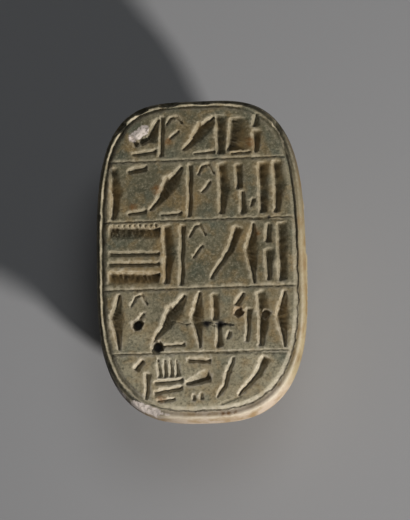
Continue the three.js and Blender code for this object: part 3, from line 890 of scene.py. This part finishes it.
def wear_tree(stone):
    """Presses broad dips and fine pores into the surface, always inward."""
    tree = bpy.data.node_groups.new("stone_wear", "GeometryNodeTree")
    named_inputs(tree, WEAR)
    make = node_maker(tree)
    calculate = calculator(make)
    given = make("NodeGroupInput")
    place = make("GeometryNodeInputPosition")[0]
    presses = []
    for depth, size in (("Dip Depth", "Dip Size"), ("Pore Depth", "Pore Size")):
        often = calculate("DIVIDE", 1, given[size])
        kind = {"noise_dimensions": "4D"}
        noise = make("ShaderNodeTexNoise", kind, Vector=place, W=given["Seed"], Scale=often, Detail=2.0)
        presses.append(calculate("MULTIPLY", noise[0], given[depth]))
    inward = calculate("MULTIPLY", calculate("ADD", *presses), -1)
    normal = make("GeometryNodeInputNormal")[0]
    offset = make("ShaderNodeVectorMath", {"operation": "SCALE"}, i0=normal, Scale=inward)[0]
    moved = make("GeometryNodeSetPosition", Geometry=given["Geometry"], Offset=offset)
    finish_tree(make, moved[0], stone)
    return tree


wear_sizes = {name: size * (1 if name == "Seed" else MM) for name, size in WEAR.items()}
run_tree(scarab, wear_tree(steatite), wear_sizes)
scarab.data.shade_smooth()

# Spots on the base: x, y, radius in millimetres
RUST = [(5.9, -8.6, 1.1), (9.9, -9, 1), (7.9, 17.6, 1.3), (8.7, 3.5, 0.7), (-4.7, 18.4, 0.8)]
RUST += [(-6.6, 10.9, 0.9), (-10.1, 8.2, 0.8), (-5.6, -21.6, 0.8)]
RUST += [(3.5, -23.9, 0.5), (4.5, -24, 0.5), (5.4, -23.8, 0.4)]
PITCH = [(-9.3, -10.1, 0.95), (-6.3, -13.6, 1.05), (10.6, 5.9, 0.4), (1.2, -10.2, 0.8), (3.3, -10.4, 0.95)]
# Pitch along the crack, and crusts of chalk: the two ends of each and half its width
SEEPED = [((-3.9, -9.8), (-0.8, -10), 0.04), ((1, -10), (5.1, -10.6), 0.2)]
CHALK = [((-10.1, 19.2), (-8.4, 20.4), 0.74), ((-9.9, -22.2), (-6.4, -23.5), 0.62)]
CHALK += [((-12.5, -19.6), (-11.3, -21), 0.3), ((-5.7, -23.7), (-4.2, -24.1), 0.22)]
# Painted shade on the sides and outer rim that face away from the lamp at the lower right, fading out
# towards the lamp
AWAY_SHADE_SPREAD = {"across": 0.68, "along": 0.45, "fades_over": 9, "from_border": 0.16, "to_rise": 5}


def spots(x, y, places, seed):
    """Ragged spots, from 1 in their middle to 0 outside."""
    total = np.zeros_like(x)
    ragged = 1 + 0.3 * unevenness(x, y, 1.1, seed) + 0.15 * unevenness(x, y, 0.45, seed + 2)
    for px, py, radius in places:
        off = np.hypot(x - px, y - py) / (radius * ragged)
        total = np.maximum(total, held(1.6 - 1.6 * off))
    return total


def streaks(x, y, places, seed):
    """Long patches with a ragged edge, from 1 in their middle to 0 outside."""
    total = np.zeros_like(x)
    ragged = 0.05 * unevenness(x, y, 0.8, seed) + 0.05 * unevenness(x, y, 0.35, seed + 2)
    for a, b, half in places:
        total = np.maximum(total, held((half + ragged - close_to_segment(x, y, a, b)) / 0.12))
    return total


def surface_masks(piece):
    """Stores on each vertex what the finish needs: cut depth, wall slope, crests and hollows."""
    mesh = piece.data
    count = len(mesh.vertices)

    def read(items, name, width, kind):
        values = np.empty(len(items) * width, kind)
        items.foreach_get(name, values)
        return values.reshape(-1, width)

    places = read(mesh.vertices, "co", 3, float) / MM
    normals = read(mesh.vertices, "normal", 3, float)
    edges = read(mesh.edges, "vertices", 2, np.int32)
    x, y, rise = places[:, 0], places[:, 1], HEIGHT - places[:, 2]
    ties = np.bincount(edges.ravel(), minlength=count).clip(1)

    def eased(values, times):
        """Averages the values with their neighbours, that many times."""
        for _ in range(times):
            total = np.zeros_like(values)
            for k in range(values.shape[1]):
                total[:, k] = np.bincount(edges[:, 0], values[edges[:, 1], k], count)
                total[:, k] += np.bincount(edges[:, 1], values[edges[:, 0], k], count)
            values = 0.4 * values + 0.6 * total / ties[:, None]
        return values

    bulge = ((places - eased(places, 3)) * normals).sum(1)
    on_base = held((inside_oval(x, y) - 0.2) / 0.35) * (rise < 1.6)
    cut = on_base * held((rise - 0.1) / 0.6)
    border = inside_border(x, y)
    cut = cut * np.clip((border - 0.5) / 0.4, 0.12, 1)
    worn = worn_side(x, y)
    groove = held((0.5 - np.abs(border - 0.3)) / 0.2) * on_base
    # Painted shade: the sides and rim facing away from the lamp are darkened as if in shadow
    lit = (AWAY_SHADE_SPREAD["across"] * x - AWAY_SHADE_SPREAD["along"] * (y - WIDEST_Y)) / AWAY_SHADE_SPREAD["fades_over"]
    outside = held((-AWAY_SHADE_SPREAD["from_border"] - border) / 0.12)
    patina = held(1 - lit) * outside * (rise < AWAY_SHADE_SPREAD["to_rise"])
    # Steep walls, plus the groove's inner slope on the side towards the lamp, which gets painted highlight
    slopes = np.maximum(held((0.84 - normals[:, 2]) / 0.3), 0.85 * groove * worn)
    hollow = held((-bulge - 0.01) / 0.1) * (1 - 0.6 * groove)
    bare_rim = worn * held((0.02 - border) / 0.12)
    masks = {
        "base": on_base * (1 - 0.85 * bare_rim),
        "cut": cut,
        "patina": patina,
        "halo": eased(cut[:, None], 30)[:, 0],
        "wall": on_base * slopes,
        "crest": held((bulge - 0.01) / 0.07),
        "hollow": hollow * (1 - 0.8 * bare_rim),
        "border": border,
        "worn_border": on_base * worn,
        "sharp_border": on_base * (1 - worn),
        "rust": spots(x, y, RUST, 2) * (rise < 3.5),
        "pitch": np.maximum(spots(x, y, PITCH, 5), streaks(x, y, SEEPED, 13)) * (rise < 1.6),
        "chalk": streaks(x, y, CHALK, 9) * (rise < 1.6),
    }
    for name, values in masks.items():
        mesh.attributes.new(name, "FLOAT", "POINT").data.foreach_set("value", values.astype(np.float32))


surface_masks(scarab)

# --------------------------------------
# The stone's finish. Steatite, olive grey on the inscribed base and pinkish cream on the sides,
# with cream arrises where the graver cut, partly worn stone and partly painted highlight, brown
# dirt in the cuts deepened with painted shade, painted shade on the sides away from the lamp,
# and a dull handled sheen.


def linear(red, green, blue):
    """A colour given as display values from 0 to 255."""
    return tuple((value / 255) ** 2.2 for value in (red, green, blue)) + (1,)


STONE = {
    "olive": linear(122, 116, 92),
    "olive_dark": linear(78, 76, 58),
    "olive_pale": linear(176, 166, 138),
    "grey_green": linear(97, 104, 91),
    "tan": linear(158, 130, 84),
    # Cream for worn arrises, also used as painted highlight on walls, crests and the rim line
    "cream": linear(182, 170, 144),
    "cream_pale": linear(220, 209, 186),
    "side": linear(174, 157, 121),
    "side_pink": linear(192, 174, 154),
    "side_tan": linear(150, 122, 80),
    # Painted shade for the sides away from the lamp; the deeper one also darkens the left groove
    "patina": linear(58, 54, 40),
    "deep_shade_and_dirt": linear(34, 31, 22),
    # Brown dirt, also used as painted shade in the cuts, the creases and the groove's foot
    "dirt_and_shade": linear(56, 46, 27),
    "rust": linear(122, 88, 50),
    "pitch": linear(20, 15, 11),
    "chalk": linear(204, 192, 184),
}


def paint_stone(material):
    material.use_nodes = True
    tree = material.node_tree
    tree.nodes.clear()
    make = node_maker(tree)
    calculate = calculator(make)
    place = make("ShaderNodeTexCoord")["Object"]

    def noise(scale, detail=3.0, rough=0.55):
        return make("ShaderNodeTexNoise", Vector=place, Scale=scale, Detail=detail, Roughness=rough)[0]

    def stretch(value, low, high, to_low=0, to_high=1):
        return make("ShaderNodeMapRange", i0=value, i1=low, i2=high, i3=to_low, i4=to_high)[0]

    def mask(name):
        return make("ShaderNodeAttribute", {"attribute_name": name})["Fac"]

    def times(a, b):
        return calculate("MULTIPLY", a, b)

    def blend(factor, a, b):
        return make("ShaderNodeMix", {"data_type": "RGBA"}, i0=factor, i6=a, i7=b)[2]

    x, y, _ = make("ShaderNodeSeparateXYZ", Vector=place)
    broad = noise(110)
    medium = noise(420, 4.0)
    fine = noise(1900, 4.0, 0.65)
    grain = noise(6000, 2.0)
    specks = noise(3300, 3.0, 0.7)
    uneven_y = calculate("ADD", y, times(stretch(broad, 0.3, 0.7, -1, 1), 0.005))
    # The face and its arrises pale towards the tail, the end nearer the lamp: partly paler stone, partly
    # painted light
    tail_end = stretch(uneven_y, 0, -0.021)
    patches = calculate("SUBTRACT", stretch(broad, 0.38, 0.62), times(tail_end, 0.8), True)
    face = blend(times(patches, 0.8), STONE["olive"], STONE["olive_dark"])
    face = blend(tail_end, face, STONE["olive_pale"])
    face = blend(stretch(noise(230), 0.5, 0.66, 0, 0.6), face, STONE["grey_green"])
    face = blend(stretch(medium, 0.5, 0.68, 0, 0.6), face, STONE["tan"])
    face = blend(stretch(fine, 0.48, 0.66, 0, 0.6), face, STONE["olive_dark"])
    face = blend(stretch(fine, 0.46, 0.3, 0, 0.5), face, STONE["olive_pale"])
    face = blend(stretch(specks, 0.52, 0.64, 0, 0.45), face, STONE["olive_dark"])
    face = blend(stretch(specks, 0.46, 0.34, 0, 0.4), face, STONE["cream"])
    worn_brown = times(stretch(mask("halo"), 0.06, 0.45), stretch(noise(160), 0.42, 0.6, 0.1, 0.85))
    face = blend(worn_brown, face, STONE["tan"])
    side = blend(stretch(uneven_y, -0.014, -0.02), STONE["side"], STONE["side_pink"])
    side = blend(stretch(medium, 0.46, 0.64, 0, 0.85), side, STONE["side_tan"])
    side = blend(stretch(broad, 0.6, 0.75, 0, 0.3), side, STONE["dirt_and_shade"])
    colour = blend(mask("base"), side, face)
    # Cut floors and concave creases darkened: partly real dirt, partly painted shade where they lie in
    # shadow
    settled_dirt_and_shade = times(mask("cut"), stretch(medium, 0.3, 0.6, 0.35, 0.9))
    settled_dirt_and_shade = calculate("MAXIMUM", settled_dirt_and_shade, times(mask("hollow"), stretch(fine, 0.3, 0.6, 0.2, 0.9)))
    colour = blend(settled_dirt_and_shade, colour, STONE["dirt_and_shade"])
    # Painted shade on the sides away from the lamp, deepest towards the tail
    patina = blend(tail_end, STONE["patina"], STONE["deep_shade_and_dirt"])
    colour = blend(times(mask("patina"), stretch(medium, 0.66, 0.42, 0.55, 0.97)), colour, patina)
    # Cream on steep walls and crests: partly worn arrises, partly painted highlight where these edges catch
    # the lamp
    bared_and_highlit = times(mask("wall"), stretch(fine, 0.38, 0.58, 0.35, 1))
    crest = times(mask("crest"), calculate("SUBTRACT", 0.85, mask("patina"), True))
    bared_and_highlit = calculate("MAXIMUM", crest, bared_and_highlit)
    bared_and_highlit = times(bared_and_highlit, calculate("SUBTRACT", 1, times(mask("hollow"), 0.5)))
    bared_and_highlit = times(bared_and_highlit, stretch(noise(900), 0.36, 0.58, 0.5, 1))
    colour = blend(bared_and_highlit, colour, blend(tail_end, STONE["cream"], STONE["cream_pale"]))
    border = calculate("ADD", mask("border"), stretch(noise(800), 0.3, 0.7, -0.14, 0.14))

    def along_border(inwards, half):
        """A ragged line that follows the border, from 1 on it to 0 at half its width."""
        off = calculate("ABSOLUTE", calculate("SUBTRACT", border, inwards), 0)
        return stretch(off, half, 0.4 * half)

    # A thin dark line at the groove's foot on the side towards the lamp: dirt, and painted shade of the
    # groove's outer wall
    foot_line = times(along_border(0.04, 0.19), mask("worn_border"))
    colour = blend(times(foot_line, stretch(fine, 0.35, 0.6, 0.55, 0.97)), colour, STONE["dirt_and_shade"])
    # The groove floor on the left, away from the lamp, is darkened: partly dirt, partly painted shade of the
    # groove's inner wall
    groove_dirt_and_shade = times(along_border(0.42, 0.52), mask("sharp_border"))
    groove_dirt_and_shade = times(groove_dirt_and_shade, stretch(x, -0.004, -0.011, 0.2, 0.72))
    colour = blend(times(groove_dirt_and_shade, stretch(medium, 0.35, 0.55, 0.6, 1)), colour, STONE["deep_shade_and_dirt"])
    # A broken cream line on the groove's outer wall at the left: worn arris, and painted highlight of the
    # wall facing the lamp
    rim_line = times(along_border(-0.13, 0.15), mask("sharp_border"))
    colour = blend(times(rim_line, stretch(noise(330), 0.44, 0.55, 0.1, 1)), colour, STONE["cream"])
    chalk = times(stretch(mask("chalk"), 0.3, 0.7), stretch(noise(2600), 0.34, 0.44, 0.35, 0.95))
    colour = blend(chalk, colour, STONE["chalk"])
    stained = times(mask("rust"), calculate("SUBTRACT", 1, times(mask("cut"), 0.7)))
    colour = blend(times(stained, stretch(fine, 0.35, 0.6, 0.4, 1)), colour, STONE["rust"])
    colour = blend(mask("pitch"), colour, STONE["pitch"])
    rough = calculate("SUBTRACT", stretch(fine, 0.3, 0.7, 0.5, 0.78), times(mask("crest"), 0.12))
    relief = calculate("ADD", times(calculate("ADD", fine, specks), 0.5), times(grain, 0.3))
    bump = make("ShaderNodeBump", Height=relief, Strength=0.75, Distance=0.00018)[0]
    shader = make(
        "ShaderNodeBsdfPrincipled", Base_Color=colour, Roughness=rough, Normal=bump, Specular_IOR_Level=0.4
    )
    make("ShaderNodeOutputMaterial", Surface=shader[0])


paint_stone(steatite)
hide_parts("scarab")
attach(scarab, "root")

# --------------------------------------
# The setting: a plain pale table, one low soft lamp from the lower right and a weak fill.

TABLE_SIZE = 1.6
TABLE_DROP = -0.00003
table_mesh = bpy.data.meshes.new("table")
half = TABLE_SIZE / 2
corners = [(x * half, y * half, TABLE_DROP) for x, y in ((-1, -1), (1, -1), (1, 1), (-1, 1))]
table_mesh.from_pydata(corners, [], [(0, 1, 2, 3)])
table = put_in_scene("table", table_mesh)
table_paint = bpy.data.materials.new("pale_table")
table_paint.use_nodes = True
table_shader = table_paint.node_tree.nodes["Principled BSDF"]
table_shader.inputs["Base Color"].default_value = (0.35, 0.35, 0.36, 1)
table_shader.inputs["Roughness"].default_value = 0.85
table_mesh.materials.append(table_paint)


def aimed_lamp(name, kind, target, azimuth, elevation, distance):
    """A lamp that looks at the target from that direction and distance."""
    lamp = bpy.data.lights.new(name, kind)
    holder = put_in_scene(name, lamp)
    turn, lift = math.radians(azimuth), math.radians(elevation)
    away = Vector((math.cos(turn) * math.cos(lift), math.sin(turn) * math.cos(lift), math.sin(lift)))
    holder.location = Vector(target) + away * distance
    holder.rotation_euler = away.to_track_quat("Z", "Y").to_euler()
    return lamp


key_lamp = aimed_lamp("key_lamp", "SPOT", (0.014, 0.004, 0.01), -47, 24, 0.8)
key_lamp.shadow_soft_size = 0.045
key_lamp.spot_size = math.radians(28)
key_lamp.spot_blend = 1
key_lamp.energy = 31.5
key_lamp.color = (1, 0.975, 0.94)
fill_lamp = aimed_lamp("fill_lamp", "AREA", (0, 0, 0.01), 50, 68, 1)
fill_lamp.size = 0.5
fill_lamp.energy = 1.6
fill_lamp.color = (0.95, 0.98, 1)

world = bpy.data.worlds.new("dim_room")
world.use_nodes = True
room_light = world.node_tree.nodes["Background"]
room_light.inputs["Color"].default_value = (0.9, 0.95, 1, 1)
room_light.inputs["Strength"].default_value = 0.016
bpy.context.scene.world = world
bpy.context.scene.view_settings.view_transform = "Standard"

CAMERA = {"view_height": 0.07855, "distance": 0.45, "to_side": 8, "to_tail": 14}
SENSOR_HEIGHT = 24
camera_data = bpy.data.cameras.new("camera")
camera_data.lens = SENSOR_HEIGHT * CAMERA["distance"] / CAMERA["view_height"]
camera_data.sensor_fit = "VERTICAL"
camera_data.sensor_height = SENSOR_HEIGHT
camera = put_in_scene("camera", camera_data)
lean_side, lean_tail = (math.tan(math.radians(CAMERA[name])) for name in ("to_side", "to_tail"))
towards = Vector((lean_side, -lean_tail, 1)).normalized()
right = Vector((0, 1, 0)).cross(towards).normalized()
up = towards.cross(right)
aim = Vector((0.00065, 0.00003, 0.018))
place = aim + towards * CAMERA["distance"]
camera.matrix_world = Matrix([*zip(right, up, towards, place), (0, 0, 0, 1)])
bpy.context.scene.camera = camera
